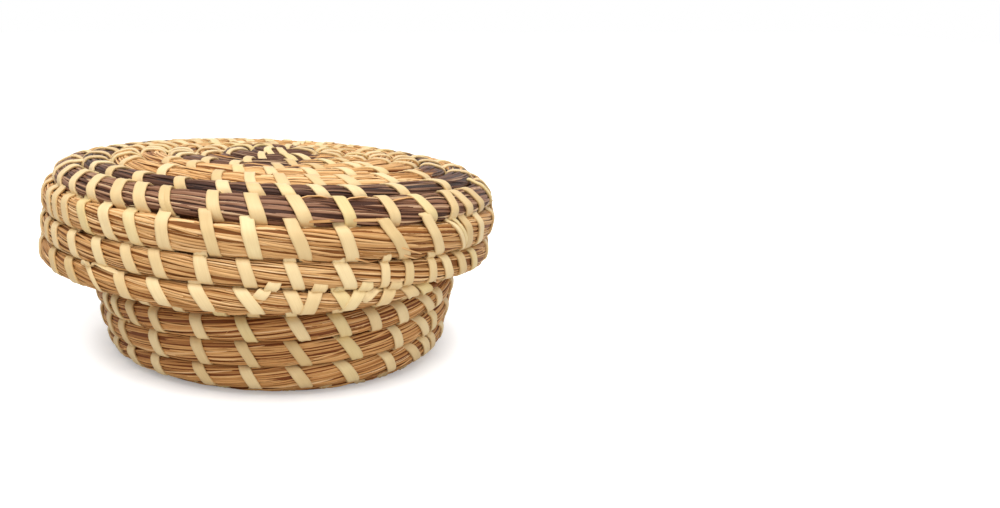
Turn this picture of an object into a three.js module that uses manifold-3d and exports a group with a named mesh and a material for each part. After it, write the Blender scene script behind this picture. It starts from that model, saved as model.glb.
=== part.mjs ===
// Coiled sweetgrass basket with an overhanging lid. Bundles of grass and pine needles are wound in one
// flat spiral that turns down over the shoulder for the lid, and in one that turns up for the basket.
// Millimetres, +Z up. The origin is the middle of the underside, on the plane that the basket stands on.
import * as THREE from "three";
import { mergeVertices } from "three/addons/utils/BufferGeometryUtils.js";
import Module from "manifold-3d";

const wasm = await Module();
wasm.setup();

// Driving sizes
const basketRadius = 80.7; // outside of the basket at its neck, under the lid
const wallHeight = 60.4; // from the floor up to the neck's last full row, along the middle of the wall
const skirtDrop = 42.7; // from the lid's middle down to its rim, along the middle of the wall

// The bundles
const lidThickness = 9; // a bundle measured through the wall of the lid
const basketThickness = 9; // the same in the wall and floor of the basket
const rowGap = 0.5; // between one row and the next
const joinGap = 0.32; // where one bundle ends and the next colour is laid in
const stepsPerTurn = 24;
const flatShare = 0.5; // of the half thickness: half the width of the face that meets the next row

// The knots that both spirals start from
const knotRadius = 3;
const knotClearance = 1; // from a knot to the first turn of its coil
const lidKnotRise = 0.8; // the lid's knot stands proud of the rows round it

// How the lid sits on the basket
const neckPlay = 9.9; // room round the neck inside the widest row of the lid
const seatGap = 0.65; // how far the lid could still drop before its shoulder meets the neck
const probesPerEdge = 4; // when the lid is let down onto the neck
const lidRadius = basketRadius + neckPlay + lidThickness; // outside of the lid at its widest row
const lidShiftX = -4.4; // the lid sits a little to the left, in the play it has round the neck
const lidShiftY = 3.8; // and a little to the back
const lidPitch = THREE.MathUtils.degToRad(-2.75); // its front edge is raised
const lidRoll = THREE.MathUtils.degToRad(2.07); // its right edge is down, because the neck ends on the left
const knotDrift = 6.9; // the lid's knot lies this far to the right of the middle of its rim

// The underside is rubbed flat by a tenth of a bundle's thickness.
const footFlat = basketThickness / 10;
const floorHeight = basketThickness / 2 - footFlat;

// Each row's edges where they cross the front, one entry a turn from the knot outwards. Radii are shares of
// the way from the knot's edge to the wall, drops and rises are shares of the skirt's and the wall's height.
// The lid's top is uneven, as sewn by hand: it rises a little round the middle and dips at the dark rows.
const lidRadiusShares = [0, 0, 0.126, 0.254, 0.38, 0.506, 0.633, 0.764, 0.896, 1, 0.987, 0.99, 0.986, 0.911];
const lidDropShares = [
  0, 0, 0, -0.014, -0.047, -0.07, -0.042, 0.061, 0.037, 0.215, 0.515, 0.766, 1, 1.232];
const basketRadiusShares = [
  0, 0, 0.153, 0.307, 0.461, 0.614, 0.767, 0.921, 0.95, 0.978, 1, 0.994, 0.986, 0.981, 0.975];
const basketRiseShares = [0, 0, 0, 0, 0, 0, 0, 0, 0.157, 0.341, 0.507, 0.672, 0.838, 1, 1.131];

// Where a colour starts and ends along its coil, in whole and 24th turns from the knot.
const turns = (whole, part) => whole + part / stepsPerTurn;
const lidStart = turns(0, 18);
const darkCentreEnd = turns(2, 16);
const darkBandStart = turns(6, 17);
const backStart = turns(7, 18); // the band is golden where it passes the back and the left
const backEnd = turns(8, 5);
const darkBandEnd = turns(8, 18);
const lidEnd = turns(11, 15);
const basketStart = turns(0, 18);
const floorEnd = turns(7, 0);
const neckStart = turns(10, 6);
const basketEnd = turns(13, 6);
const lidTaperTurns = turns(0, 4); // over which the rim's last bundle runs out to nothing
const neckTaperTurns = turns(0, 6); // the same at the end of the neck
const taperEndShare = 0.3; // of the row's height that is left at a bundle's cut end

const sweetgrass = new THREE.MeshStandardMaterial({ color: 0xb98b53, roughness: 0.62, metalness: 0 });
const agedSweetgrass = new THREE.MeshStandardMaterial({ color: 0xa06d45, roughness: 0.66, metalness: 0 });
const pineNeedles = new THREE.MeshStandardMaterial({ color: 0x5e3f36, roughness: 0.58, metalness: 0 });

// The edge between two rows, from a smooth curve through its places at the front.
// side is 1 where the outside of the coil faces up from the flat part, and -1 where it faces down.
function edgeCurve({ radius, thickness, reach, radiusShares, heightShares, drift, side }) {
  const inner = knotRadius + knotClearance;
  const outer = radius - thickness / 2;
  const points = radiusShares.map((share, row) =>
    new THREE.Vector3(inner + share * (outer - inner), -side * heightShares[row] * reach, 0));
  const curve = new THREE.CatmullRomCurve3(points, false, "catmullrom", 0.5);
  const rows = points.length - 1;
  return (row) => {
    const share = Math.min(Math.max(row / rows, 0), 1);
    const place = curve.getPoint(share);
    const along = row < 1 ? new THREE.Vector3(1, 0, 0) : curve.getTangent(share);
    const out = new THREE.Vector3(-along.y, along.x, 0).multiplyScalar(side);
    return { place, along, out, drift: drift * (1 - row / rows) };
  };
}

// A bundle's section on one half plane through the axis, as six points of radius, height and drift:
// it bulges outwards and inwards and meets the rows beside it with a flat face.
function bundleSection(edge, turn, thickness, share) {
  const before = edge(turn - 0.5);
  const whole = edge(turn + 0.5);
  const half = thickness / 2;
  const after = { ...whole, place: before.place.clone().lerp(whole.place, share) };
  const across = after.place.clone().sub(before.place);
  const out = new THREE.Vector3(-across.y, across.x, 0).normalize();
  out.multiplyScalar(Math.sign(out.dot(before.out.clone().add(after.out))));
  const middle = before.place.clone().lerp(after.place, 0.5);
  const corner = (side, outward, onward) => side.place.clone()
    .addScaledVector(side.out, outward * half * flatShare)
    .addScaledVector(side.along, onward * rowGap / 2);
  const drift = (before.drift + after.drift) / 2;
  return [
    { point: middle.clone().addScaledVector(out, half), drift },
    { point: corner(after, 1, -1), drift: after.drift },
    { point: corner(after, -1, -1), drift: after.drift },
    { point: middle.clone().addScaledVector(out, -half), drift },
    { point: corner(before, -1, 1), drift: before.drift },
    { point: corner(before, 1, 1), drift: before.drift },
  ];
}

// One unbroken tube along the spiral. The front of the basket is where a whole and a half turn end.
function coilRings(coil, from, to, taperTurns) {
  const rings = [];
  const count = Math.round((to - from) * stepsPerTurn);
  for (let step = 0; step <= count; step += 1) {
    const turn = from + step / stepsPerTurn;
    const angle = (turn - 0.5) * 2 * Math.PI - Math.PI / 2;
    const left = taperTurns > 0 ? Math.min((to - turn) / taperTurns, 1) : 1;
    const share = taperEndShare + (1 - taperEndShare) * Math.sin((left * Math.PI) / 2);
    const section = bundleSection(coil.edge, turn, coil.thickness, share);
    rings.push(section.map(({ point, drift }) =>
      new THREE.Vector3(drift + point.x * Math.cos(angle), point.x * Math.sin(angle), point.y)));
  }
  return rings;
}

// Both ends are drawn back along the last step, so that two bundles meet face to face with a small gap.
function drawBack(ring, neighbour) {
  const step = ring[0].distanceTo(neighbour[0]);
  ring.forEach((point, index) => point.lerp(neighbour[index], joinGap / 2 / step));
}

function tubeGeometry(rings, side) {
  const sides = rings[0].length;
  const ordered = rings.map((ring) => (side > 0 ? ring : [...ring].reverse()));
  const positions = ordered.flat().flatMap((point) => point.toArray());
  const indices = [];
  for (let ring = 0; ring < rings.length - 1; ring += 1) {
    for (let point = 0; point < sides; point += 1) {
      const next = (point + 1) % sides;
      const a = ring * sides + point;
      const b = ring * sides + next;
      indices.push(a, b, b + sides, a, b + sides, a + sides);
    }
  }
  const last = (rings.length - 1) * sides;
  for (let point = 1; point < sides - 1; point += 1) {
    indices.push(0, point + 1, point);
    indices.push(last, last + point, last + point + 1);
  }
  const geometry = new THREE.BufferGeometry();
  geometry.setAttribute("position", new THREE.Float32BufferAttribute(positions, 3));
  geometry.setIndex(indices);
  geometry.computeVertexNormals();
  return geometry;
}

// Least gap between a coil's own rows, on the corners and face middles of each section a turn apart.
function leastRowGap(rings) {
  const dense = rings.map((ring) => ring.flatMap((point, index) =>
    [point, point.clone().lerp(ring[(index + 1) % ring.length], 0.5)]));
  let least = Infinity;
  for (let ring = 0; ring + stepsPerTurn < dense.length; ring += 1) {
    for (const near of [-1, 0, 1]) {
      const other = dense[ring + stepsPerTurn + near] ?? [];
      for (const a of dense[ring]) {
        for (const b of other) least = Math.min(least, a.distanceTo(b));
      }
    }
  }
  return least;
}

function solidOf(geometry) {
  const bare = geometry.clone();
  bare.deleteAttribute("normal");
  bare.deleteAttribute("uv");
  const merged = mergeVertices(bare);
  return new wasm.Manifold(new wasm.Mesh({
    numProp: 3,
    vertProperties: new Float32Array(merged.attributes.position.array),
    triVerts: new Uint32Array(merged.index.array),
  }));
}

function geometryOf(solid) {
  const { numProp, vertProperties, triVerts } = solid.getMesh();
  const positions = [];
  for (let start = 0; start < vertProperties.length; start += numProp) {
    positions.push(...vertProperties.slice(start, start + 3));
  }
  const geometry = new THREE.BufferGeometry();
  geometry.setAttribute("position", new THREE.Float32BufferAttribute(positions, 3));
  geometry.setIndex([...triVerts]);
  geometry.computeVertexNormals();
  return geometry;
}

// Rubs the underside flat: everything below the plane that the basket stands on comes off.
function rubbedFlat(geometry) {
  const width = 4 * basketRadius;
  const slab = new THREE.BoxGeometry(width, width, basketThickness);
  slab.translate(0, 0, -floorHeight - basketThickness / 2);
  return geometryOf(solidOf(geometry).subtract(solidOf(slab)));
}

// A knot of folded needles: a short round plug with soft edges, through the thickness of its coil.
function knotGeometry(bottom, top) {
  const soft = knotRadius / 3;
  const outline = new THREE.Path();
  outline.moveTo(0, bottom);
  outline.lineTo(knotRadius - soft, bottom);
  outline.quadraticCurveTo(knotRadius, bottom, knotRadius, bottom + soft);
  outline.lineTo(knotRadius, top - soft);
  outline.quadraticCurveTo(knotRadius, top, 0, top);
  const knot = new THREE.LatheGeometry(outline.getPoints(4), stepsPerTurn / 2);
  return knot.rotateX(Math.PI / 2);
}

function piece(name, geometry, material) {
  const mesh = new THREE.Mesh(geometry, material);
  mesh.name = name;
  return mesh;
}

function coilPiece(name, coil, from, to, material, taperTurns = 0) {
  const rings = coilRings(coil, from, to, taperTurns);
  drawBack(rings[0], rings[1]);
  drawBack(rings[rings.length - 1], rings[rings.length - 2]);
  if (rings.length > stepsPerTurn) {
    console.log(`${name}: least gap between its rows ${leastRowGap(rings).toFixed(2)} mm`);
  }
  return piece(name, tubeGeometry(rings, coil.side), material);
}

// How far the upper piece can drop straight down before it meets the lower one, probed with upright rays
// from points along every edge of both.
function freeDrop(upper, lower) {
  const ray = new THREE.Raycaster();
  const down = new THREE.Vector3(0, 0, -1);
  let least = Infinity;
  const probe = (from, target, direction) => {
    const { index, attributes: { position } } = from.geometry;
    const corner = (place) => new THREE.Vector3().fromBufferAttribute(position, index.getX(place));
    for (let place = 0; place < index.count; place += 1) {
      const start = corner(place);
      const end = corner(place % 3 === 2 ? place - 2 : place + 1);
      for (let step = 0; step < probesPerEdge; step += 1) {
        const point = start.clone().lerp(end, step / probesPerEdge);
        ray.set(from.localToWorld(point), direction);
        for (const hit of ray.intersectObject(target, false)) least = Math.min(least, hit.distance);
      }
    }
  };
  probe(lower, upper, down.clone().negate());
  probe(upper, lower, down);
  return least;
}

const lidCoil = {
  side: 1,
  thickness: lidThickness,
  edge: edgeCurve({
    radius: lidRadius, thickness: lidThickness, reach: skirtDrop, drift: knotDrift, side: 1,
    radiusShares: lidRadiusShares, heightShares: lidDropShares,
  }),
};

const basketCoil = {
  side: -1,
  thickness: basketThickness,
  edge: edgeCurve({
    radius: basketRadius, thickness: basketThickness, reach: wallHeight, drift: 0, side: -1,
    radiusShares: basketRadiusShares, heightShares: basketRiseShares,
  }),
};

// The lid: dark needles round the knot, a golden top, a dark shoulder that is golden behind, a golden skirt.
const lid = new THREE.Group();
lid.rotation.set(lidPitch, lidRoll, 0);
const lidKnotTop = lidThickness / 2 + lidKnotRise;
const lidKnot = piece("lid_knot", knotGeometry(-lidThickness / 2, lidKnotTop), pineNeedles);
lidKnot.position.x = knotDrift;
lid.add(lidKnot);
lid.add(coilPiece("lid_centre_coil", lidCoil, lidStart, darkCentreEnd, pineNeedles));
lid.add(coilPiece("lid_top_coil", lidCoil, darkCentreEnd, darkBandStart, sweetgrass));
const shoulder = [
  coilPiece("lid_shoulder_coil", lidCoil, darkBandStart, backStart, pineNeedles),
  coilPiece("lid_back_coil", lidCoil, backStart, backEnd, sweetgrass),
  coilPiece("lid_front_coil", lidCoil, backEnd, darkBandEnd, pineNeedles),
];
lid.add(...shoulder);
lid.add(coilPiece("lid_skirt_coil", lidCoil, darkBandEnd, lidEnd, sweetgrass, lidTaperTurns));

// The floor and the lowest rows of the wall stand on the underside that is rubbed flat.
const body = new THREE.Group();
body.position.z = floorHeight;
body.add(piece("basket_knot", knotGeometry(-floorHeight, basketThickness / 2), agedSweetgrass));
const floor = coilPiece("basket_floor_coil", basketCoil, basketStart, floorEnd, agedSweetgrass);
const wall = coilPiece("basket_wall_coil", basketCoil, floorEnd, neckStart, agedSweetgrass);
for (const coil of [floor, wall]) {
  coil.geometry = rubbedFlat(coil.geometry);
  body.add(coil);
}
const neck = coilPiece("basket_neck_coil", basketCoil, neckStart, basketEnd, agedSweetgrass, neckTaperTurns);
body.add(neck);

// The lid starts well above the neck and is let down onto it.
const basket = new THREE.Group();
basket.add(lid, body);
lid.position.set(lidShiftX, lidShiftY, 2 * (wallHeight + skirtDrop));
basket.updateMatrixWorld(true);
lid.position.z -= Math.min(...shoulder.map((row) => freeDrop(row, neck))) - seatGap;

export default basket;
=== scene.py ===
"""Visual model of the coiled sweetgrass basket: blades wound in two spirals and sewn with palm strips."""

import math

import bpy
import numpy as np
from mathutils import Matrix, Vector


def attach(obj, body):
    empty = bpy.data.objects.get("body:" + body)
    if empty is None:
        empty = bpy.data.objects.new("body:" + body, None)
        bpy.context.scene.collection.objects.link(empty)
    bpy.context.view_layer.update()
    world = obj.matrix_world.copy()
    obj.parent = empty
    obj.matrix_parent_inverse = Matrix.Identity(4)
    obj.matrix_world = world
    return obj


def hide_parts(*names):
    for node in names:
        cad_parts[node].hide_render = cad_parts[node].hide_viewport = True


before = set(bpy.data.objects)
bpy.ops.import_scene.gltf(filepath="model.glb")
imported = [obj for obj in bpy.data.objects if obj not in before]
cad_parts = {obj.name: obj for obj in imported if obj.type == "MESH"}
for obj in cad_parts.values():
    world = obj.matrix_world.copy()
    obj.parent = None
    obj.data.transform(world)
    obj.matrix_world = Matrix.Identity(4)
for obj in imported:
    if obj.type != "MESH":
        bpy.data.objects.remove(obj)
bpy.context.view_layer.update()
random = np.random.default_rng(1403)

# The two spirals, in millimetres, repeated from the part's source. Only the crown of the lid differs: it
# rises up to 4.3 mm higher towards the knot, as the photograph shows it.
KNOT_EDGE = 4.0  # where the first turn starts, measured from the axis
BUNDLE = 9.0  # thickness of a bundle through the wall
BASKET_RADIUS = 80.7
WALL_HEIGHT = 60.4
SKIRT_DROP = 42.7
NECK_PLAY = 9.9  # room round the neck inside the lid
LID_RADIUS = BASKET_RADIUS + NECK_PLAY + BUNDLE
FOOT_FLAT = BUNDLE / 10  # the underside is rubbed flat by this much
FLOOR_HEIGHT = BUNDLE / 2 - FOOT_FLAT
LID_PLACE = (-4.4, 3.8, 78.02)
LID_TILT = (math.radians(-2.75), math.radians(2.07))
KNOT_DRIFT = 6.9
LID_RADII = (0, 0, 0.126, 0.254, 0.38, 0.506, 0.633, 0.764, 0.896, 1, 0.987, 0.99, 0.986, 0.911)
LID_DROPS = (-0.1, -0.1, -0.078, -0.05, -0.038, -0.03, -0.032, 0.045, 0.037, 0.215, 0.515, 0.766, 1, 1.232)
BASKET_RADII = (0, 0, 0.153, 0.307, 0.461, 0.614, 0.767, 0.921, 0.95, 0.978, 1, 0.994, 0.986, 0.981, 0.975)
BASKET_RISES = (0, 0, 0, 0, 0, 0, 0, 0, 0.157, 0.341, 0.507, 0.672, 0.838, 1, 1.131)
COIL_START = 0.75
CENTRE_END = 2 + 16 / 24
# Where pine needles show again in the first turns of the lid's sweetgrass
DARK_PLACES = ((3.36, 3.6), (4.24, 4.49))
BAND_START = 6 + 17 / 24
BAND_EARLY = 20  # millimetres by which the needles there start earlier than the joint of the solids
BACK_START = 7 + 18 / 24
BACK_END = 8 + 5 / 24
BAND_END = 8 + 18 / 24
LID_END = 11 + 15 / 24
FLOOR_END = 7.0
NECK_START = 10.25
BASKET_END = 13.25
TAPER_END_SHARE = 0.3  # of the height of its row, left where a bundle runs out
TAPER_END_THICKNESS = 0.4  # of its thickness, left where its height would come to nothing

# How a bundle looks, in millimetres
SQUARENESS = 2.8  # of its section: 2 is an ellipse, more is boxier
ROW_PLAY = 0.12  # between two rows, each side
USUAL_HALF_HEIGHT = 5.4  # of a row, for an even spread of the blades
FLOOR_PLAY = 0.25  # between the ground and a blade of the underside
FLOOR_PLAY_SPREAD = 0.1  # more for each millimetre that the blade is raised
BLADE_STEP = 2.6  # length of one piece of a blade's mesh
BLADES = 47  # round one bundle
BLADE_SLOPE = 0.02
BLADE_ROUNDING = 0.4  # how far its edges lie below its middle, as a share of its width
BLADE_END_REACH = 5  # length over which an end dips under the others
BLADE_END_DIP = 0.5
BLADE_WIDTHS = (0.55, 0.8)  # the least, and how much more the widest has, as shares of the look's width
SWAYS = (18, 50)  # shortest and longest sway of a blade to and fro, divided by two pi
SHORT_SWAYS = (6, 12)
RIPPLES = (5, 11)
RIPPLE_LIFT = 0.1
LEVEL_DRAW = 0.62  # a blade that draws this, between 0 and 1, lies level with its bundle's surface
TWIST_WAVE = 140  # over this length, times two pi, the twist of a bundle runs ahead and lags once
TWIST_AHEAD = 26
GRAIN_STEP = (53, 7.31)  # along and across, between the streaks of one blade and of the next
CROSSING = 9  # shorter blades that lie over them at a slant
CROSSING_LENGTHS = (30, 90)
CROSSING_SLOPE = 0.07
CROSSING_LIFT = 0.25
CORE_DEPTH = 0.45  # of the core under the blades, coloured darker than them as painted shade
LAID_IN = 16  # blades of two colours end this far apart at most, each way
FADE = 3  # length over which a blade comes up where it starts
SQUEEZE_REACH = 3.4  # how far from a strip its pull is felt
STRIP_THICKNESS = 0.38
STRIP_WIDTHS = (4.5, 5.4)
ANY_PHASE = 6.3  # a whole turn in radians, for waves that start anywhere


class Coil:
    """One spiral of bundles. A turn is a number of rows from the knot, and half turns lie at the front."""

    def __init__(self, radius, reach, radii, heights, drift, side, place, tilt, end, taper, rubbed):
        outer = radius - BUNDLE / 2
        r = KNOT_EDGE + np.array(radii) * (outer - KNOT_EDGE)
        z = -side * np.array(heights) * reach
        self.points = np.stack([r, z], axis=1)
        self.rows = len(radii) - 1
        self.side, self.drift, self.end, self.taper, self.rubbed = side, drift, end, taper, rubbed
        turned = Matrix.Rotation(tilt[0], 4, "X") @ Matrix.Rotation(tilt[1], 4, "Y")
        self.matrix = np.array(Matrix.Translation(place) @ turned)
        self.dense_turns = np.linspace(0, self.rows, 4000)
        middle = self.radius(self.dense_turns)
        steps = np.pi * (middle[1:] + middle[:-1]) * np.diff(self.dense_turns)
        self.dense_arcs = np.concatenate([[0], np.cumsum(steps)])

    def edge(self, row):
        """Radius and height of the edge between two rows, on a smooth curve."""
        first, last = 2 * self.points[0] - self.points[1], 2 * self.points[-1] - self.points[-2]
        ends = np.vstack([first, self.points, last])
        place = np.clip(row, 0, self.rows)
        low = np.minimum(place.astype(int), self.rows - 1)
        part = (place - low)[..., None]
        behind, start, stop, beyond = (ends[low + k] for k in range(4))
        leaving, arriving = (stop - behind) / 2, (beyond - start) / 2
        at = (2 * part**3 - 3 * part**2 + 1) * start + (part**3 - 2 * part**2 + part) * leaving
        return at + (3 * part**2 - 2 * part**3) * stop + (part**3 - part**2) * arriving

    def arc(self, turn):
        return np.interp(turn, self.dense_turns, self.dense_arcs)

    def turn_at(self, arc):
        return np.interp(arc, self.dense_arcs, self.dense_turns)

    def radius(self, turn):
        return self.edge(np.asarray(turn, dtype=float))[..., 0]

    def place(self, local):
        """Points in metres in the object's frame from points in millimetres in the coil's own."""
        whole = np.concatenate([local, np.ones(local.shape[:-1] + (1,))], axis=-1)
        return (whole @ self.matrix.T)[..., :3] / 1000

    def surface(self, turn, around, lift):
        """Points in metres on a bundle, raised by lift in millimetres.

        The way around it is 0 outside, 0.25 at the next row and 0.5 inside.
        """
        turn, around, lift = np.broadcast_arrays(turn, around, lift)
        turn = turn.astype(float)
        before = self.edge(turn - 0.5)
        after = self.edge(turn + 0.5)
        left = np.clip((self.end - turn) / self.taper, 0, 1)
        share = TAPER_END_SHARE + (1 - TAPER_END_SHARE) * np.sin(left * np.pi / 2)
        after = before + (after - before) * share[..., None]
        across = after - before
        length = np.linalg.norm(across, axis=-1, keepdims=True)
        across = across / length
        out = np.stack([-across[..., 1], across[..., 0]], axis=-1) * self.side
        half_high = length[..., 0] / 2 - ROW_PLAY
        thick = TAPER_END_THICKNESS + (1 - TAPER_END_THICKNESS) * length[..., 0] / BUNDLE
        half_thick = BUNDLE / 2 * np.minimum(1, thick)
        angle = np.interp(np.mod(around, 1.0), ROUND_SHARES, ROUND_ANGLES)
        cosine, sine = np.cos(angle), np.sin(angle)
        reach = np.abs(cosine / half_thick) ** SQUARENESS + np.abs(sine / half_high) ** SQUARENESS
        reach = reach ** (-1 / SQUARENESS)
        x, y = reach * cosine, reach * sine
        normal_x = np.sign(x) * np.abs(x / half_thick) ** (SQUARENESS - 1) / half_thick
        normal_y = np.sign(y) * np.abs(y / half_high) ** (SQUARENESS - 1) / half_high
        size = np.hypot(normal_x, normal_y)
        x, y = x + lift * normal_x / size, y + lift * normal_y / size
        flat = (before + after) / 2 + x[..., None] * out + y[..., None] * across
        angle = (turn - 0.5) * 2 * np.pi - np.pi / 2
        drift = self.drift * (1 - turn / self.rows)
        world = self.place(np.stack([drift + flat[..., 0] * np.cos(angle), flat[..., 0] * np.sin(angle),
                                     flat[..., 1]], axis=-1))
        if self.rubbed:
            lowest = FLOOR_PLAY + FLOOR_PLAY_SPREAD * np.clip(lift, -2, 1)
            world[..., 2] = np.maximum(world[..., 2], lowest / 1000)
        return world


def section_table():
    """Share of the way round a section at each angle, the angles, and the way round in millimetres."""
    angle = np.linspace(0, 2 * np.pi, 721)
    deep, high = np.abs(np.cos(angle)) / (BUNDLE / 2), np.abs(np.sin(angle)) / USUAL_HALF_HEIGHT
    reach = (deep**SQUARENESS + high**SQUARENESS) ** (-1 / SQUARENESS)
    steps = np.hypot(np.diff(reach * np.cos(angle)), np.diff(reach * np.sin(angle)))
    length = np.concatenate([[0], np.cumsum(steps)])
    return length / length[-1], angle, length[-1]


ROUND_SHARES, ROUND_ANGLES, PERIMETER = section_table()
lid_coil = Coil(LID_RADIUS, SKIRT_DROP, LID_RADII, LID_DROPS, drift=KNOT_DRIFT, side=1, place=LID_PLACE,
                tilt=LID_TILT, end=LID_END, taper=4 / 24, rubbed=False)
basket_coil = Coil(BASKET_RADIUS, WALL_HEIGHT, BASKET_RADII, BASKET_RISES, drift=0, side=-1,
                   place=(0, 0, FLOOR_HEIGHT), tilt=(0, 0), end=BASKET_END, taper=6 / 24, rubbed=True)
COILS = {"lid": lid_coil, "basket": basket_coil}

# Camera, as fitted to the edges between the rows in the photograph
PHOTO_WIDTH = 1000
PHOTO_MIDDLE = 254  # of its height
SENSOR = 36
FOCAL_PIXELS = 998.7
AXIS_PIXEL = (266.2, 265.2)
CAMERA_PLACE = (-0.00412, -0.4361, 0.1546)
CAMERA_PITCH = 15.62  # degrees below level
CAMERA_YAW = -0.08


def make_camera():
    camera = bpy.data.objects.new("camera", bpy.data.cameras.new("camera"))
    camera.data.sensor_width = SENSOR
    camera.data.lens = FOCAL_PIXELS * SENSOR / PHOTO_WIDTH
    camera.data.shift_x = 0.5 - AXIS_PIXEL[0] / PHOTO_WIDTH
    camera.data.shift_y = (AXIS_PIXEL[1] - PHOTO_MIDDLE) / PHOTO_WIDTH
    camera.data.clip_start = 0.01
    camera.location = CAMERA_PLACE
    camera.rotation_euler = (math.radians(90 - CAMERA_PITCH), 0, math.radians(CAMERA_YAW))
    bpy.context.scene.collection.objects.link(camera)
    bpy.context.scene.camera = camera


def turn_seen_at(coil, row, column, around=0.0):
    """The turn, on the front of a row, whose outside shows at this pixel column."""
    turns = np.linspace(row + 0.2, row + 0.8, 601)
    toward = coil.surface(turns, around, 0.4) - np.array(CAMERA_PLACE)
    pitch = math.radians(CAMERA_PITCH)
    depth = toward[:, 1] * math.cos(pitch) - toward[:, 2] * math.sin(pitch)
    columns = AXIS_PIXEL[0] + FOCAL_PIXELS * toward[:, 0] / depth
    front = slice(np.argmin(columns), np.argmax(columns) + 1)
    return turns[front][np.argmin(np.abs(columns[front] - column))]


# Meshes

def make_object(name, vertices, quads, material, attributes=None, smooth=True):
    """A mesh from numpy arrays, with point attributes of three numbers."""
    mesh = bpy.data.meshes.new(name)
    mesh.vertices.add(len(vertices))
    mesh.vertices.foreach_set("co", vertices.astype(np.float32).ravel())
    mesh.loops.add(quads.size)
    mesh.loops.foreach_set("vertex_index", quads.astype(np.int32).ravel())
    mesh.polygons.add(len(quads))
    mesh.polygons.foreach_set("loop_start", np.arange(0, quads.size, 4, dtype=np.int32))
    mesh.update(calc_edges=True)
    mesh.polygons.foreach_set("use_smooth", np.full(len(quads), smooth))
    for key, values in (attributes or {}).items():
        layer = mesh.attributes.new(key, "FLOAT_VECTOR", "POINT")
        layer.data.foreach_set("vector", values.astype(np.float32).ravel())
    mesh.materials.append(material)
    made = bpy.data.objects.new(name, mesh)
    bpy.context.scene.collection.objects.link(made)
    return made


def grid_quads(runs, length, across, closed=False):
    """Faces of several grids of length by across points, stored one after another."""
    run = np.arange(runs)[:, None, None] * length * across
    along = np.arange(length - 1)[None, :, None] * across
    columns = np.arange(across if closed else across - 1)[None, None, :]
    a = run + along + columns
    b = run + along + (columns + 1) % across
    return np.stack([a, a + across, b + across, b], axis=-1).reshape(-1, 4)


class Parts:
    """Collects grids of points with their attributes into one mesh."""

    def __init__(self):
        self.vertices, self.quads, self.blade, self.along, self.count = [], [], [], [], 0

    def add(self, points, blade, along, closed=False, flip=False):
        runs, length, across = points.shape[:3]
        quads = grid_quads(runs, length, across, closed)
        if flip:
            quads = quads[:, ::-1]
        self.vertices.append(points.reshape(-1, 3))
        self.quads.append(quads + self.count)
        self.blade.append(np.broadcast_to(blade, points.shape).reshape(-1, 3))
        self.along.append(np.broadcast_to(along, points.shape).reshape(-1, 3))
        self.count += points[..., 0].size

    def make(self, name, material):
        return make_object(name, np.concatenate(self.vertices), np.concatenate(self.quads), material,
                           {"blade": np.concatenate(self.blade), "along": np.concatenate(self.along)})


def unit(vectors):
    return vectors / np.maximum(np.linalg.norm(vectors, axis=-1, keepdims=True), 1e-12)


def sweep(centres, sides, outward, across, rise):
    """Carries a section, across by rise in millimetres, along each row of centres.

    Outward is a rough normal, which tells the top of the section from its underside.
    """
    along = unit(np.gradient(centres, axis=1))
    sides = unit(sides - np.sum(sides * along, axis=-1, keepdims=True) * along)
    normal = np.cross(along, sides)
    sign = np.sign(np.sum(normal * outward, axis=(-1, -2), keepdims=True))
    normal = normal * sign
    offset = across[..., None] * sides[:, :, None, :] + rise[..., None] * normal[:, :, None, :]
    return centres[:, :, None, :] + offset / 1000


# Blades

def pick(low, high, *shape):
    return random.uniform(low, high, shape)


def squeeze(coil, arc):
    """How much the nearest strip pulls a bundle in, from 0 to 1."""
    places = coil.stitch_arcs
    after = np.clip(np.searchsorted(places, arc), 1, len(places) - 1)
    gap = np.minimum(np.abs(arc - places[after]), np.abs(arc - places[after - 1]))
    return np.exp(-((gap / SQUEEZE_REACH) ** 2))


def wave(arc, low, high, count):
    """Ups and downs along each blade, each with a length of its own between the two."""
    return np.sin(arc / pick(low, high, count, 1) + pick(0, ANY_PHASE, count, 1))


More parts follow.
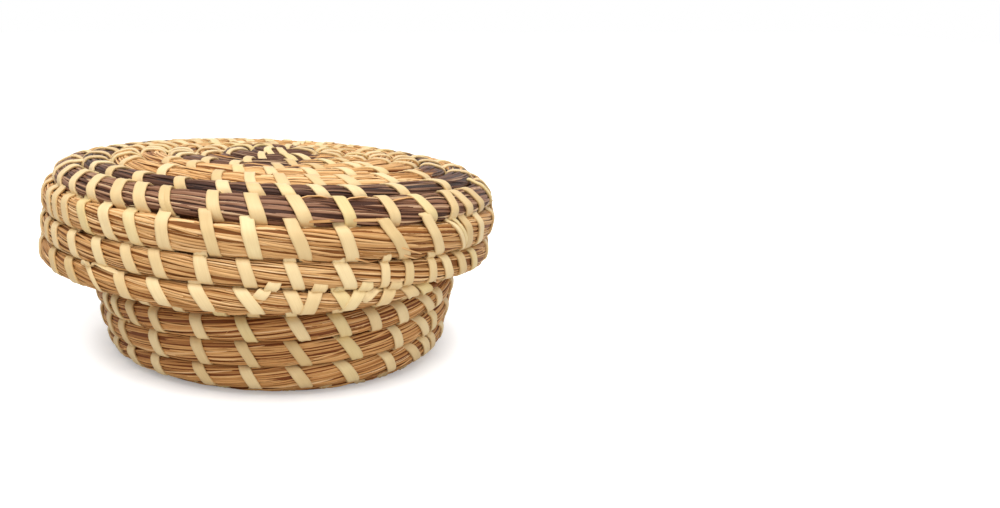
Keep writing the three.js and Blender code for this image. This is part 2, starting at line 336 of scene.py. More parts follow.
def blades(coil, start, end, look, ends):
    """The blades round one bundle: each slot is a run of blades laid in end to end, over a core whose darker
    colour is painted shade between the blades.
    """
    parts = Parts()
    low, high = coil.arc(start), coil.arc(end)
    steps = max(int((high - low + 2 * LAID_IN) / BLADE_STEP), 8)
    arc = np.linspace(max(low - LAID_IN, 0), high + LAID_IN, steps + 1)[None, :]
    turn = np.minimum(coil.turn_at(arc), coil.end - 0.001)
    twist = look["twist"] * (arc + TWIST_AHEAD * np.sin(arc / TWIST_WAVE + start)) / PERIMETER
    pulled = look["pulled"] * squeeze(coil, arc)
    side = np.array([-0.5, 0, 0.5])
    crown = np.array([-BLADE_ROUNDING, 0, -BLADE_ROUNDING])
    layers = ((BLADES, look["lengths"], BLADE_SLOPE, 0),
              (CROSSING, CROSSING_LENGTHS, CROSSING_SLOPE, CROSSING_LIFT))
    for slots, lengths, slope, above in layers:
        first, last = low + np.resize(ends[0], slots)[:, None], high + np.resize(ends[1], slots)[:, None]
        there = np.clip((arc - first) / FADE, 0, 1) * np.clip((last - arc) / FADE, 0, 1)
        slot = np.arange(slots)[:, None]
        length = pick(*lengths, slots, 1)
        placed = (arc + pick(0, 1, slots, 1) * length) / length
        piece = placed.astype(int)
        gap = np.minimum(placed - piece, piece + 1 - placed) * length
        shade = random.random((slots, piece.max() + 1, 3))[slot, piece]
        sloping = random.normal(0, slope, (slots, piece.max() + 1))[slot, piece]
        sloping = sloping * (placed - piece - 0.5) * length
        wander = look["wander"] * (wave(arc, *SWAYS, slots) + 0.25 * wave(arc, *SHORT_SWAYS, slots))
        around = (slot + wander * slots / BLADES) / slots + twist + sloping / PERIMETER
        end_dip = np.exp(-((gap / BLADE_END_REACH) ** 2))
        lift = above + look["loose"] * (shade[..., 1] - LEVEL_DRAW)
        lift = lift + RIPPLE_LIFT * wave(arc, *RIPPLES, slots)
        lift = lift - (BLADE_END_DIP + above) * end_dip - pulled * (1 + above) - (1 - there)
        width = look["width"] * (BLADE_WIDTHS[0] + BLADE_WIDTHS[1] * shade[..., 2] ** 1.4)
        width = width * (1 - 0.7 * end_dip) * there
        points = coil.surface(turn[..., None], around[..., None] + side * width[..., None] / PERIMETER,
                              lift[..., None] + crown * width[..., None])
        # The third number, 0 in the middle of a blade and 1 at its edges, sets where the material paints
        # shade on the edges.
        along = np.stack(np.broadcast_arrays(arc[..., None] + slot[..., None] * GRAIN_STEP[0],
                                             slot[..., None] * GRAIN_STEP[1] + side * width[..., None],
                                             2 * np.abs(side)), axis=-1)
        parts.add(points, shade[..., None, :], along, flip=coil.side < 0)
    # The core takes the darkest stop of the ramp: painted shade where it shows between the blades.
    ring = np.linspace(0, 1, 33)[:-1]
    arc = np.linspace(low, high, steps + 1)
    depth = -CORE_DEPTH - look["pulled"] * squeeze(coil, arc)[:, None]
    core = coil.surface(np.minimum(coil.turn_at(arc), coil.end - 0.001)[:, None], ring[None, :], depth)
    flow = np.stack(np.broadcast_arrays(arc[:, None], ring[None, :] * PERIMETER, ring[None, :] * 0), axis=-1)
    parts.add(core[None], np.array([0.0, 0.1, 0.1]), flow[None], closed=True, flip=coil.side < 0)
    return parts


# Strips. Each comes out of the row before its own, passes over its own row, and goes back into the row
# before on the inside. Those that the photograph shows are listed by row: a single number is the pixel
# column where a strip crosses the middle of its row. A group holds the columns of its top and its foot, and
# how many millimetres into the row before it reaches. A fourth number is its width as a share of the usual,
# and a fifth is how far over its row it goes before it dives in.
SEEN_STRIPS = {
    "lid": {
        1: (284,),
        2: (266, 291),
        3: (214, 253, 293, 327),
        4: (213, 240, 281, 317, 352),
        5: (150, 176, 200, 243, 274, 311, 345, 375, 405),
        6: (132, 170, 222, 253, 284, 318, 350, 388, 420, 446),
        7: (148, 187, 227, 258, 286, 318, 352, 395, 436, 462),
        8: (68, 80, 98, 122, (148, 145, 0.4), (168.6, 169, 0.3, 0.52), (173.4, 174, 0.3, 0.5),
            (215.5, 219, 0.2), (253, 260.5, 0.2), (292, 308.5, 0.6), (337.5, 352.5, 0.2), (378.5, 398, 0.4),
            (410, 436, 0.6), (440, 453, 0.2), 466, 478),
        9: (49, 55, 65, 82, 105, 130, (163.5, 170.5, 1.2), (203.5, 219, 3.4), (245, 258, 1.8),
            (291, 306.5, 2.2), (341, 352, 0.2), (384, 402.5, 2.6), (424.5, 435.5, 3.8), (450, 459, 0.4, 0.4),
            (453.5, 462, 1.4, 0.35), 471, 483),
        10: (47, 55, 73, 98, 128, (156, 167.5, 1.0), (201.5, 210, 2.6), (244, 252, 0.3), (289, 301, 2.2),
             (338.5, 349, 2.2), (383, 381.5, 4.2, 0.72), (405.5, 404, 0.2, 0.8), (427.5, 427.5, 3.4, 0.85),
             450, 464, 476),
        11: (53, 71, (122, 133, 0.5), (154, 170, 0.8), (196, 213.5, 2.2), (238.5, 260, 0.6),
             (273, 250, 5, 1, 0.3), (289.5, 300, 0.4), (318, 305, 5), (336.5, 349, 2.5), (363, 346, 5),
             (392, 379, 4.4, 1.1), 412),
    },
    "basket": {
        7: (119, 134, (157, 170, 0.3), (198, 215, 0.3), (244, 260, 0.3), (290, 307, 0.3), (338, 352, 0.3),
            (382, 387, 0.3), (405, 412, 0.3), 428),
        8: (111, 124, (154, 170, 0.3), (196, 211, 0.3), (240, 258, 0.3), (290, 308, 0.3), (341, 356, 0.3),
            (390, 395, 0.3), (415, 420, 0.3), 436),
        9: (107, 116, 131, (156, 167, 0.3), (196, 209, 0.3), (240, 256, 0.3), (291, 306, 0.3),
            (334, 345, 0.3), (368, 375, 0.3), (394, 401, 0.3), (417, 426, 0.3), 441),
    },
}
# How far a strip shifts along its row from top to foot, in millimetres, by row
LEANS = {"lid": {8: 5.5, 9: 5.5, 10: 4.5, 11: 7}, "basket": {7: -5.5, 8: -5.5, 9: -5}}
USUAL_LEANS = {"lid": 4.2, "basket": -4.2}
USUAL_REACHES = {"lid": 3.2, "basket": 0.3}  # at most this far up into the row before
LEAST_PITCH = 9.6  # between strips at the knot
PITCH_GROWTH = 5.2  # more at the full radius and beyond
FULL_PITCH_RADIUS = 84
FIRST_STRIPS = 4  # in the first turn
STRAY = 0.5  # of a strip from the line of its column
SPLIT_AT = 1.5  # pitches between two strips that one more goes between
CROWDED_AT = 0.5  # pitches to the strip before, at which a column ends
FILLED_AT = 1.75  # pitches of a gap that is left beside the seen strips and gets one more
BESIDE_SEEN = 0.012  # turns beyond the seen strips of a row that stay free of others


def seen_stitch(coil, name, row, seen):
    """Turn, lean, reach into the row before, width and stop of a strip that the photograph shows."""
    if isinstance(seen, tuple):
        top, foot, reach, width, stop = (*seen, 1, 1)[:5]
        above = turn_seen_at(coil, row, top, -0.2 * coil.side)
        below = turn_seen_at(coil, row, foot, 0.22 * coil.side)
        turn = (above + below) / 2
        return turn, (below - above) * coil.side * 2 * np.pi * coil.radius(turn), reach, width, stop
    lean = LEANS[name].get(row, USUAL_LEANS[name]) * random.uniform(0.85, 1.1)
    return turn_seen_at(coil, row, seen), lean, random.uniform(0.2, 1.6), 1, 1


def lay_stitches(coil, name, start, end):
    """Strips in columns: each follows the one in the row before it, with one more where they spread.

    Where the photograph shows the strips of a row, those take their place.
    """
    def pitch(turn):
        return LEAST_PITCH + PITCH_GROWTH * min(1, coil.radius(turn) / FULL_PITCH_RADIUS)

    placed = list(start + 0.2 + np.arange(FIRST_STRIPS) / FIRST_STRIPS)
    while placed[-1] < end:
        ahead = [t + 1 for t in placed if placed[-1] + 1e-6 < t + 1 < placed[-1] + 1.001]
        for parent in ahead:
            turn = parent + random.normal(0, STRAY) / (2 * np.pi * coil.radius(parent))
            if coil.arc(turn) - coil.arc(placed[-1]) > SPLIT_AT * pitch(turn):
                placed.append((turn + placed[-1]) / 2)
            if coil.arc(turn) - coil.arc(placed[-1]) > CROWDED_AT * pitch(turn):
                placed.append(turn)
    reach = USUAL_REACHES[name]
    stitches = [(t, LEANS[name].get(int(t), USUAL_LEANS[name]) * random.uniform(0.8, 1.15),
                 random.uniform(0.1, reach), 1, 1) for t in placed if t < end]
    seen_ranges = []
    for row, columns in SEEN_STRIPS[name].items():
        shown = [seen_stitch(coil, name, row, column) for column in columns]
        first, last = min(s[0] for s in shown), max(s[0] for s in shown)
        stitches = [s for s in stitches if s[0] < first - BESIDE_SEEN or s[0] > last + BESIDE_SEEN]
        stitches += [s for s in shown if s[0] < end]
        seen_ranges.append((first, last))
    stitches.sort()
    for before, after in zip(stitches[:-1], stitches[1:]):
        middle = (before[0] + after[0]) / 2
        wide = coil.arc(after[0]) - coil.arc(before[0]) > FILLED_AT * pitch(middle)
        if wide and not any(first < middle < last for first, last in seen_ranges):
            stitches.append((middle, *before[1:]))
    return np.array(sorted(stitches))


TIGHT_END = 12  # points of a strip's path at each end that are pulled tight
PULLS = 120
LOWEST_STRIP = 0.0001  # metres above the ground


def tighten(points, outward):
    """Pulls each end of a strip tight, so that it lies straight across the groove between two rows."""
    points = points.copy()
    free = np.arange(1, points.shape[1] - 1)
    free = (free < TIGHT_END) | (free >= points.shape[1] - TIGHT_END)
    for _ in range(PULLS):
        middle = (points[:, :-2] + points[:, 2:]) / 2
        away = np.sum((middle - points[:, 1:-1]) * outward[:, 1:-1], axis=-1) > 0
        points[:, 1:-1] = np.where((away & free)[..., None], middle, points[:, 1:-1])
    return points


# Section of a strip, from one edge over the top to the other and back underneath, as a share of half its
# width and of its thickness. Its underside reaches down into the bundle and closes the groove that it spans.
STRIP_SIDE = np.array([-1, -0.96, -0.78, -0.35, 0, 0.35, 0.78, 0.96, 1, 0.9, 0, -0.9])
STRIP_RISE = np.array([0.0, 0.6, 0.92, 0.98, 1, 0.98, 0.92, 0.6, 0.0, -1.8, -2.4, -1.8])
NEXT_ROW = 0.25  # share of the way round a bundle at which it meets the next row
OWN_FROM = -0.175  # shares of the way round its own row at which a strip comes to it and leaves it
OWN_TO = 0.675
OWN_STEPS = 29
IN_ROW_BEFORE = 5  # points of a strip's path at each end that lie in the row before
LEAVES_ROW = 0.035  # share of the way round before the next row at which a strip leaves the row before
LEAST_TUCK = 0.006  # share of the way round that a strip lies on the row before at least
HIDDEN_END = 0.045  # such a share too, of the end inside the bundle
FREE_END = -0.27  # where a strip of the first turn starts, which has no row before it
FREE_STEP = 0.02
TUCK_LIFTS = (-1.8, 0.1, 0.45, 0.5, 0.45)  # millimetres above the row before, from the hidden end on
STRIP_LIFT = 0.12  # above its own row
STRIP_RIPPLE = 0.07
PULLED_IN = 0.25  # lower where it lies between its own row and the next
CROSSING_STRIP_LIFT = 0.4  # of one that leans against the rest and lies over them
DIVE_DEPTH = 2.2  # of a strip that stops short of its foot
RUBBED_DEPTH = 1.2  # of the strips under the floor, which stands on its blades
CAMERA_SINE = 0.27  # of the camera's pitch, rounded
CAMERA_COSINE = 0.96
UNSEEN_SHARE = 0.12  # of its length that a piece of a strip still counts for where it is seen end on
AFTER_FOOT = 2.2  # millimetres by which a strip leans on behind its row
KNOT_WIDTH_SHARE = 0.62  # of its width that a strip at the axis would have
WIDENING_RADIUS = 230


def strip_profile(coil, turns, leans, reach, stop):
    """Way round the bundle and lift along each strip, and which of its points lie in the row before."""
    count = len(turns)
    back = pick(0.2, 2.5, count, 1)
    step = np.arange(OWN_STEPS + 2 * IN_ROW_BEFORE)
    at_start, at_end = step < IN_ROW_BEFORE, step >= OWN_STEPS + IN_ROW_BEFORE
    own = np.broadcast_to(np.linspace(OWN_FROM, OWN_TO, OWN_STEPS), (count, OWN_STEPS))
    hole, inner_hole = NEXT_ROW - reach / PERIMETER, NEXT_ROW + back / PERIMETER
    leaves = np.maximum(hole + LEAST_TUCK, NEXT_ROW - LEAVES_ROW)
    returns = np.minimum(inner_hole - LEAST_TUCK, NEXT_ROW + LEAVES_ROW)
    between = np.array([[1 / 3, 2 / 3]])
    around = np.concatenate([hole - HIDDEN_END, hole, hole + (leaves - hole) * between, leaves, own, returns,
                             inner_hole + (returns - inner_hole) * between[:, ::-1], inner_hole,
                             inner_hole + HIDDEN_END], axis=1)

    level = np.clip(np.sin(np.interp(np.mod(own, 1), ROUND_SHARES, ROUND_ANGLES)) * 1.25, -1, 1)
    ripple = STRIP_RIPPLE * np.sin(own * 14 + pick(0, ANY_PHASE, count, 1)) * (1 - np.abs(level) ** 4)
    base = STRIP_LIFT + ripple
    base = base - PULLED_IN * np.clip(level, 0, 1) ** 12
    crossing = leans * coil.side < 0
    base = base + CROSSING_STRIP_LIFT * crossing * (own < 0.22)
    base = base - DIVE_DEPTH * np.clip((own + 0.25 - 0.5 * stop) / 0.05, 0, 1) * (stop < 1)
    under_floor = coil.rubbed * (turns < FLOOR_END)
    base = base - RUBBED_DEPTH * under_floor * np.clip((own - 0.08) / 0.08, 0, 1) * (own < 0.3)
    tuck = np.broadcast_to(np.array(TUCK_LIFTS), (count, IN_ROW_BEFORE))
    lift = np.concatenate([tuck + 0.3 * crossing, base, tuck[:, ::-1]], axis=1)

    sewn_on = turns > COIL_START + 1.05
    loose_end = (at_start | at_end) & ~sewn_on
    last = OWN_STEPS + IN_ROW_BEFORE - 1
    ends = np.where(at_start, FREE_END + FREE_STEP * step, OWN_TO + FREE_STEP * (step - last))
    around = np.where(loose_end, ends, around)
    lift = np.where(loose_end, -0.5, lift)
    return around, lift, np.where(at_start | at_end, 1.0, 0.0) * sewn_on


def strip_shift(coil, straight, path, leans):
    """How far each point of a strip lies along its row. A leaning strip looks straight from the front."""
    count = len(path)
    lengths = np.diff(path, axis=1)
    out = np.diff(np.hypot(straight[..., 0], straight[..., 1]), axis=1) * 1000
    down = CAMERA_SINE * out - CAMERA_COSINE * np.diff(straight[..., 2], axis=1) * 1000
    seen = np.maximum(coil.side * down, UNSEEN_SHARE * lengths)
    seen = np.concatenate([np.zeros((count, 1)), np.cumsum(seen, axis=1)], axis=1)
    foot = IN_ROW_BEFORE + np.argmin(np.abs(np.linspace(OWN_FROM, OWN_TO, OWN_STEPS) - NEXT_ROW))
    share = (seen - seen[:, 1:2]) / (seen[:, foot:foot + 1] - seen[:, 1:2])
    shift = leans * (np.clip(share, -0.1, 1) - 0.5) + AFTER_FOOT * np.clip(share - 1, 0, 1)
    return shift + 0.2 * np.sin(path * 0.25 + pick(0, ANY_PHASE, count, 1))


def strips(coil, start, end):
    """The palm strips of one bundle."""
    chosen = coil.stitches[(coil.stitches[:, 0] >= start) & (coil.stitches[:, 0] < end)]
    turns, leans, reach, wide, stop = (chosen[:, k, None] for k in range(5))
    count = len(turns)
    around, lift, before = strip_profile(coil, turns, leans, reach, stop)
    straight = coil.surface(turns - before, around, lift)
    straight = tighten(straight, coil.surface(turns - before, around, lift + 0.5) - straight)
    lengths = np.linalg.norm(np.diff(straight, axis=1), axis=-1) * 1000
    path = np.concatenate([np.zeros((count, 1)), np.cumsum(lengths, axis=1)], axis=1)
    round_turn = 2 * np.pi * coil.radius(turns)
    place = turns - before + strip_shift(coil, straight, path, leans) / round_turn
    narrow = np.minimum(1, KNOT_WIDTH_SHARE + coil.radius(turns) / WIDENING_RADIUS)
    width = pick(*STRIP_WIDTHS, count, 1) * narrow * wide
    width = width * (1 + 0.03 * np.sin(path * 0.4 + pick(0, ANY_PHASE, count, 1)))
    centres = coil.surface(place, around, lift)
    outward = coil.surface(place, around, lift + 0.5) - centres
    centres = tighten(centres, outward)
    nudge = 0.4 / round_turn
    sides = coil.surface(place + nudge, around, lift) - coil.surface(place - nudge, around, lift)
    curl = pick(-0.04, 0.2, count, 1, 1)
    rise = STRIP_THICKNESS * STRIP_RISE + curl * STRIP_SIDE**2 * np.ones((*path.shape, 1))
    points = sweep(centres, sides, outward, width[..., None] / 2 * STRIP_SIDE, rise)
    if coil.rubbed:
        points[..., 2] = np.maximum(points[..., 2], LOWEST_STRIP)
    shade = random.random((count, 1, 1, 3))
    # The third number, 0 in the middle of a strip and 1 at its edges, sets where the material paints shade
    # on the edges.
    flow = np.stack(np.broadcast_arrays(path[..., None] + pick(0, 400, count, 1, 1),
                                        width[..., None] / 2 * STRIP_SIDE + pick(0, 90, count, 1, 1),
                                        np.abs(STRIP_SIDE)), axis=-1)
    parts = Parts()
    parts.add(points, shade, flow, closed=True, flip=coil.side > 0)
    return parts


# Strips and blades out of their usual place, as the photograph shows them: width in millimetres, then
# points by row, pixel column, share of the way round the row and lift
LOOSE_STRIPS = (
    (2.1, ((11, 120, -0.14, 0.1), (11, 116, -0.15, 0.8), (11, 110, -0.15, 1.2), (11, 103, -0.16, 1.6),
           (11, 97.5, -0.18, 2.0), (10, 94, 0.17, 2.4), (10, 92, 0.11, 2.8), (10, 89.5, 0.09, 2.8),
           (10, 87.5, 0.12, 2.6), (10, 87, 0.19, 2.3), (11, 88.5, -0.17, 1.8), (11, 91.5, -0.09, 1.2),
           (11, 96, 0.02, 0.8), (11, 101, 0.12, 0.6), (11, 105, 0.22, 0.2), (11, 106, 0.27, -1))),
    (3.6, ((11, 365, 0.0, -0.4), (11, 369, -0.05, 0.7), (11, 376, -0.13, 0.9), (11, 382, -0.2, -0.2))),
)
LOOSE_BLADES = (
    (0.8, ((8, 302, -0.11, -0.4), (8, 308, -0.11, 0.5), (8, 320, -0.12, 0.5), (8, 331, -0.13, -0.4))),
    (0.7, ((8, 346, -0.08, -0.4), (8, 352, -0.09, 0.5), (8, 364, -0.11, 0.5), (8, 377, -0.12, -0.4))),
    (0.7, ((8, 394, -0.06, -0.4), (8, 400, -0.06, 0.5), (8, 410, -0.08, 0.5), (8, 420, -0.09, -0.4))),
    (1.2, ((8, 308, 0.2, -0.4), (8, 314, 0.19, 0.3), (8, 330, 0.18, 0.3), (8, 337, 0.18, -0.4))),
    (1.2, ((8, 352, 0.18, -0.4), (8, 358, 0.17, 0.3), (8, 376, 0.17, 0.3), (8, 388, 0.17, -0.4))),
    (1.0, ((9, 300, 0.13, -0.4), (9, 306, 0.16, 0.6), (9, 325, 0.21, 0.7), (9, 341, 0.225, -0.3))),
    (0.8, ((9, 353, 0.1, -0.4), (9, 360, 0.13, 0.6), (9, 370, 0.17, 0.6), (9, 384, 0.22, -0.3))),
    (0.8, ((9, 402, 0.1, -0.4), (9, 408, 0.12, 0.6), (9, 417, 0.16, 0.6), (9, 426, 0.21, -0.3))),
    (0.7, ((9, 399, 0.0, -0.4), (9, 406, 0.03, 0.5), (9, 416, 0.08, 0.5), (9, 424, 0.12, -0.3))),
)


LOOSE_THICKNESS = 0.3


def loose(coil, pieces, steps=41):
    """Ribbons through points on the rows, on smooth curves."""
    parts = Parts()
    smooth = np.array([0.25, 0.5, 0.25])
    for width, points in pieces:
        known, facing = [], []
        for row, column, around, lift in points:
            turn = turn_seen_at(coil, row, column, around)
            known.append(coil.surface(turn, around, lift))
            facing.append(unit(coil.surface(turn, around, lift + 1) - known[-1]))
        place = np.linspace(0, len(known) - 1, steps)
        centres, outward = (np.stack([np.interp(place, np.arange(len(known)), np.array(values)[:, k])
                                      for k in range(3)], axis=-1) for values in (known, facing))
        for _ in range(3):
            for k in range(3):
                centres[1:-1, k] = np.convolve(centres[:, k], smooth, "valid")
        along = unit(np.gradient(centres, axis=0))
        path = 25 * np.linspace(0, 1, steps)[None, :, None]
        thin = np.sqrt(np.clip(np.sin(np.linspace(0.1, np.pi - 0.1, steps)) * 3, 0, 1))[None, :, None]
        rise = LOOSE_THICKNESS * np.maximum(STRIP_RISE, -0.6) * np.ones((1, steps, 1))
        across = width / 2 * STRIP_SIDE
        # The third number, 0 in the middle and 1 at the edges, sets where the material paints shade on the
        # edges.
        flow = np.stack(np.broadcast_arrays(path, across + 5 * width, np.abs(STRIP_SIDE)), axis=-1)
        ribbon = sweep(centres[None], np.cross(along, outward)[None], outward[None], across * thin, rise)
        parts.add(ribbon, random.uniform(0.5, 0.9, (1, 1, 1, 3)), flow, closed=True)
    return parts


# Knots

KNOT_SIZE = 3.75
KNOT_HEIGHTS = {"lid": (8.6, 4.3), "basket": (4.8, 2.9)}  # above and below the coil's origin


def knot(coil, top, bottom):
    """Blades folded over and over into a ball that fills the middle of the first turn."""
    parts = Parts()
    count, steps, sides = 34, 30, 6
    shade = random.random((count, 1, 1, 3))
    angle = np.linspace(0, 2.06 * np.pi, steps)[None, :, None]
    ring = np.linspace(0, 2 * np.pi, sides + 1)[None, None, :-1]
    heading = pick(0, np.pi, count, 1, 1)
    aside = random.normal(0, 1.5, (count, 1, 1)).clip(-3.1, 3.1)
    reach = np.sqrt(KNOT_SIZE**2 - aside**2) + pick(-0.2, 0.2, count, 1, 1)
    thick = pick(0.32, 0.55, count, 1, 1)
    cosine, sine = np.cos(angle), np.sin(angle)
    height = np.where(sine > 0, top, bottom) * (1 - 0.3 * (aside / KNOT_SIZE) ** 2)
    wide = np.sign(cosine) * np.abs(cosine) ** 0.8
    tall = np.sign(sine) * np.abs(sine) ** 0.8
    x = wide * (reach + thick * np.cos(ring))
    z = tall * (height + thick * np.cos(ring))
    y = aside + 0.3 * np.sin(angle * 2 + heading * 7) + thick * np.sin(ring)
    turned = np.stack([x * np.cos(heading) - y * np.sin(heading) + coil.drift,
                       x * np.sin(heading) + y * np.cos(heading), z], axis=-1)
    flow = np.stack(np.broadcast_arrays(angle * 4 + heading * 90, ring * 0.4 + aside * 3, ring * 0), axis=-1)
    parts.add(coil.place(turned), shade, flow, closed=True)
    return parts


# Materials

def node(tree, kind, links=None, **values):
    made = tree.nodes.new(kind)
    for key, value in values.items():
        setattr(made, key, value)
    for key, source in (links or {}).items():
        if isinstance(source, bpy.types.NodeSocket):
            tree.links.new(source, made.inputs[key])
        else:
            made.inputs[key].default_value = source
    return made


def linear_channel(value):
    share = value / 255
    return share / 12.92 if share <= 0.04045 else ((share + 0.055) / 1.055) ** 2.4


def linear(colour):
    """A colour written as it looks on the screen, 0 to 255."""
    return (*(linear_channel(value) for value in colour), 1)


def ramp(tree, source, stops):
    made = node(tree, "ShaderNodeValToRGB", {"Fac": source})
    elements = made.color_ramp.elements
    while len(elements) < len(stops):
        elements.new(0.5)
    for element, (place, colour) in zip(elements, stops):
        element.position = place
        element.color = linear(colour)
    return made.outputs["Color"]


def fibre_noise(tree, flow, scale_along, scale_across, detail):
    """Noise drawn out along the blade."""
    stretched = node(tree, "ShaderNodeVectorMath", {0: flow, 1: (scale_along, scale_across, 0)},
                     operation="MULTIPLY")
    return node(tree, "ShaderNodeTexNoise", {"Vector": stretched.outputs[0], "Scale": 1.0, "Detail": detail,
                                             "Roughness": 0.6}).outputs["Fac"]


def spread(tree, source, low, high, to_low, to_high):
    """A number carried over from one range to another."""
    return node(tree, "ShaderNodeMapRange", {"Value": source, "From Min": low, "From Max": high,
                                             "To Min": to_low, "To Max": to_high}).outputs[0]


def calculate(tree, operation, first, second):
    return node(tree, "ShaderNodeMath", {0: first, 1: second}, operation=operation).outputs[0]


def mix(tree, kind, share, first, second):
    made = node(tree, "ShaderNodeMix", data_type="RGBA", blend_type=kind)
    for key, source in ((0, share), (6, first), (7, second)):
        if isinstance(source, bpy.types.NodeSocket):
            tree.links.new(source, made.inputs[key])
        else:
            made.inputs[key].default_value = source
    return made.outputs[2]


def fibre_material(name, stops, roughness, specular=0.2, streak=0.2, patch=0.08, edge=0.6, bump=0.5):
    """A dry blade: a colour of its own, finer streaks along it, edges darkened as painted shade where blades
    and strips lie beside and under others, and small ridges.
    """
    material = bpy.data.materials.new(name)
    material.use_nodes = True
    tree = material.node_tree
    tree.nodes.clear()
    blade = node(tree, "ShaderNodeAttribute", attribute_name="blade")
    flow = node(tree, "ShaderNodeAttribute", attribute_name="along").outputs["Vector"]
    own = ramp(tree, node(tree, "ShaderNodeSeparateXYZ", {0: blade.outputs["Vector"]}).outputs[0], stops)
    across = node(tree, "ShaderNodeSeparateXYZ", {0: flow}).outputs[2]
    fine = fibre_noise(tree, flow, 0.06, 5.5, 3)
    streaks = spread(tree, fine, 0.3, 0.7, 1 - streak, 1 + streak)
    patches = spread(tree, fibre_noise(tree, flow, 0.1, 0.3, 2), 0.3, 0.7, 1 - patch, 1 + patch)
    # The last factor is painted shade that darkens the edges of each blade and strip; the streaks and
    # patches are the fibre's own tone.
    shade = calculate(tree, "MULTIPLY", calculate(tree, "MULTIPLY", streaks, patches),
                      spread(tree, across, 0.65, 1, 1, 1 - edge))
    # Darkening turns warmer as it deepens, blue most and red least: this colours the painted edge shade and
    # the streaks alike.
    warm_streak_and_edge_shade = node(tree, "ShaderNodeCombineXYZ", {
        channel: calculate(tree, "POWER", shade, power) for channel, power in enumerate((0.75, 1.05, 1.4))})
    colour = mix(tree, "MULTIPLY", 1.0, own, warm_streak_and_edge_shade.outputs[0])
    ridges = node(tree, "ShaderNodeBump", {"Height": fine, "Strength": bump, "Distance": 0.0003})
    shader = node(tree, "ShaderNodeBsdfPrincipled", {
        "Base Color": colour, "Roughness": spread(tree, fine, 0, 1, roughness - 0.1, roughness + 0.12),
        "Normal": ridges.outputs[0]})
    shader.inputs["Specular IOR Level"].default_value = specular
    node(tree, "ShaderNodeOutputMaterial", {"Surface": shader.outputs[0]})
    return material


# The stop at 0 of each grass and pine ramp is mostly the core's colour, darker than the blades: painted
# shade.
SWEETGRASS = ((0.0, (126, 74, 28)), (0.02, (172, 118, 62)), (0.25, (202, 150, 92)), (0.6, (217, 168, 110)),
              (0.88, (230, 184, 127)), (1.0, (244, 206, 154)))
AGED_GRASS = ((0.0, (118, 64, 26)), (0.02, (164, 108, 58)), (0.25, (194, 136, 79)), (0.6, (211, 155, 94)),
              (0.88, (223, 172, 112)), (1.0, (237, 194, 142)))
PINE = ((0.0, (62, 32, 16)), (0.02, (84, 48, 28)), (0.3, (122, 82, 58)), (0.75, (146, 104, 78)),
        (0.93, (178, 138, 106)), (1.0, (216, 180, 140)))
DARK_PINE = ((0.0, (44, 22, 12)), (0.02, (64, 36, 22)), (0.4, (90, 58, 42)), (0.8, (118, 82, 62)),
             (0.95, (150, 114, 88)), (1.0, (206, 170, 130)))
PALM = ((0.0, (210, 178, 122)), (0.35, (224, 194, 141)), (0.75, (234, 208, 157)), (1.0, (220, 194, 134)))

# edge sets how dark the painted shade at the edges of blades and strips is.
sweetgrass = fibre_material("sweetgrass_blades", SWEETGRASS, roughness=0.52)
aged_grass = fibre_material("aged_sweetgrass_blades", AGED_GRASS, roughness=0.54)
pine = fibre_material("pine_needle_blades", PINE, roughness=0.45, patch=0.1, edge=0.42)
dark_pine = fibre_material("dark_pine_needle_blades", DARK_PINE, roughness=0.45, patch=0.1, edge=0.42)
palm = fibre_material("palm_leaf_strips", PALM, roughness=0.46, specular=0.45, streak=0.06, patch=0.05,
                      edge=0.12, bump=0.3)

GRASS_LOOK = {"lengths": (90, 260), "twist": 0.1, "loose": 0.55, "width": 1.02, "wander": 0.25,
              "pulled": 0.5}
PINE_LOOK = {"lengths": (70, 180), "twist": 0.05, "loose": 0.64, "width": 1.12, "wander": 0.25,
             "pulled": 0.55}

# Name, body, where it starts and ends, look, material, slot
BUNDLES = (
    ("lid_centre", "lid", COIL_START, CENTRE_END, PINE_LOOK, dark_pine, "pine_needles"),
    ("lid_top", "lid", CENTRE_END, DARK_PLACES[0][0], GRASS_LOOK, sweetgrass, "sweetgrass"),
    ("lid_top", "lid", *DARK_PLACES[0], PINE_LOOK, dark_pine, "pine_needles"),
    ("lid_top", "lid", DARK_PLACES[0][1], DARK_PLACES[1][0], GRASS_LOOK, sweetgrass, "sweetgrass"),
    ("lid_top", "lid", *DARK_PLACES[1], PINE_LOOK, dark_pine, "pine_needles"),
    ("lid_top", "lid", DARK_PLACES[1][1], BAND_START, GRASS_LOOK, sweetgrass, "sweetgrass"),
    ("lid_shoulder", "lid", BAND_START, BACK_START, PINE_LOOK, dark_pine, "pine_needles"),
    ("lid_back", "lid", BACK_START, BACK_END, GRASS_LOOK, sweetgrass, "sweetgrass"),
    ("lid_front", "lid", BACK_END, BAND_END, PINE_LOOK, pine, "pine_needles"),
    ("lid_skirt", "lid", BAND_END, LID_END, GRASS_LOOK, sweetgrass, "sweetgrass"),
    ("basket_floor", "basket", COIL_START, FLOOR_END, GRASS_LOOK, aged_grass, "aged_sweetgrass"),
    ("basket_wall", "basket", FLOOR_END, NECK_START, GRASS_LOOK, aged_grass, "aged_sweetgrass"),
    ("basket_neck", "basket", NECK_START, BASKET_END, GRASS_LOOK, aged_grass, "aged_sweetgrass"),
)


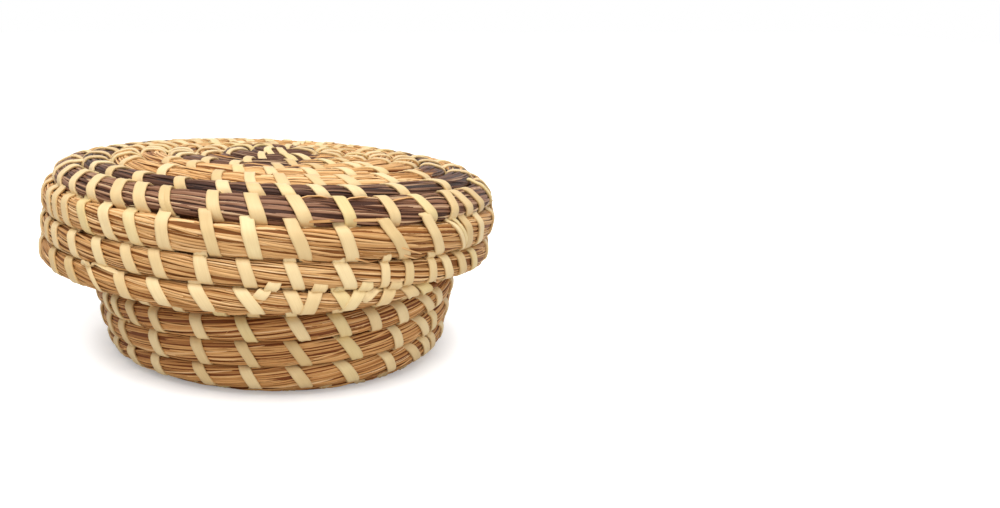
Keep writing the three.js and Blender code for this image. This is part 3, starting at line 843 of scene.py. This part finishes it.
def make_bundles():
    """Blades and strips of every bundle, and the knots and loose pieces.

    Where two colours meet, each blade ends where the next one starts.
    """
    for body, coil in COILS.items():
        coil.stitches = lay_stitches(coil, body, COIL_START, coil.end)
        coil.stitch_arcs = coil.arc(coil.stitches[:, 0])
    joints = {}
    for number, (name, body, start, end, look, material, slot) in enumerate(BUNDLES, 1):
        coil = COILS[body]
        ends = []
        for place in (start, end):
            if place in (COIL_START, coil.end):
                ends.append(pick(-10, 0, BLADES) if place == coil.end else np.zeros(BLADES))
            else:
                early = BAND_EARLY if place == BAND_START else 0
                ends.append(joints.setdefault((body, place), pick(-LAID_IN, LAID_IN, BLADES) - early))
        made = blades(coil, start, end, look, ends).make(f"{name}_{slot}_{number}", material)
        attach(made, body)
        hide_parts(f"{name}_coil")
        sewn = strips(coil, start, end).make(f"{name}_strips_{number}", palm)
        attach(sewn, body)
    for name, body, material, slot in (("lid_knot", "lid", dark_pine, "pine_needles"),
                                       ("basket_knot", "basket", aged_grass, "aged_sweetgrass")):
        made = knot(COILS[body], *KNOT_HEIGHTS[body]).make(f"{name}_needles", material)
        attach(made, body)
        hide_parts(name)
    for name, pieces, material, slot in (("lid_loose_strips", LOOSE_STRIPS, palm, "palmetto"),
                                         ("lid_loose_blades", LOOSE_BLADES, sweetgrass, "sweetgrass")):
        made = loose(lid_coil, pieces).make(name, material)
        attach(made, "lid")


WORLD_LIGHT = 0.6  # that the world throws on the basket, where the camera sees it as 1
FLOOR_GREY = 0.72
FLOOR_GLOW = (0.2, 0.69)  # glow that the camera alone sees, right beside the basket and away from it; the lower one is a painted contact shadow
CONTACT_REACH = 0.014  # metres over which the painted contact shadow reaches


def make_room():
    """A pale floor whose glow is dimmed beside the basket as a painted contact shadow, a white backdrop by
    the world, and plain soft light.
    """
    world = bpy.data.worlds.new("studio")
    bpy.context.scene.world = world
    world.use_nodes = True
    tree = world.node_tree
    tree.nodes.clear()
    path = node(tree, "ShaderNodeLightPath")
    seen = node(tree, "ShaderNodeMath", {0: path.outputs["Is Camera Ray"], 1: path.outputs["Is Glossy Ray"]},
                operation="ADD", use_clamp=True)
    seen = node(tree, "ShaderNodeMath", {0: seen.outputs[0], 1: path.outputs["Is Transmission Ray"]},
                operation="ADD", use_clamp=True)
    strength = spread(tree, seen.outputs[0], 0, 1, WORLD_LIGHT, 1)
    back = node(tree, "ShaderNodeBackground", {"Color": (1, 1, 1, 1), "Strength": strength})
    node(tree, "ShaderNodeOutputWorld", {"Surface": back.outputs[0]})

    material = bpy.data.materials.new("floor")
    material.use_nodes = True
    tree = material.node_tree
    shader = tree.nodes["Principled BSDF"]
    shader.inputs["Base Color"].default_value = (FLOOR_GREY, FLOOR_GREY, FLOOR_GREY, 1)
    shader.inputs["Roughness"].default_value = 0.8
    path = node(tree, "ShaderNodeLightPath")
    shader.inputs["Emission Color"].default_value = (1, 1, 1, 1)
    # The glow dims where the floor is close to the basket: a painted contact shadow.
    painted_shadow_ao = node(tree, "ShaderNodeAmbientOcclusion", {"Distance": CONTACT_REACH}, samples=8).outputs["AO"]
    glow_with_painted_shadow = calculate(tree, "MULTIPLY", path.outputs["Is Camera Ray"], spread(tree, painted_shadow_ao, 0, 1, *FLOOR_GLOW))
    tree.links.new(glow_with_painted_shadow, shader.inputs["Emission Strength"])
    corners = np.array([(-2, -1.5, 0), (2, -1.5, 0), (2, 3, 0), (-2, 3, 0)])
    floor = make_object("floor", corners, np.array([[0, 1, 2, 3]]), material, smooth=False)

    for name, place, aim, size, power in (
        ("top_light", (-0.05, -0.35, 1.1), (0, 0, 0.05), 0.9, 11.5),
        ("front_light", (0.25, -1.25, 0.45), (0, 0, 0.04), 1.2, 3.2),
    ):
        lamp = bpy.data.objects.new(name, bpy.data.lights.new(name, "AREA"))
        lamp.data.size = size
        lamp.data.energy = power
        lamp.location = place
        lamp.rotation_euler = (Vector(place) - Vector(aim)).to_track_quat("Z", "Y").to_euler()
        bpy.context.scene.collection.objects.link(lamp)


make_camera()
make_room()
make_bundles()

bpy.context.scene.view_settings.view_transform = "Standard"
bpy.context.view_layer.update()
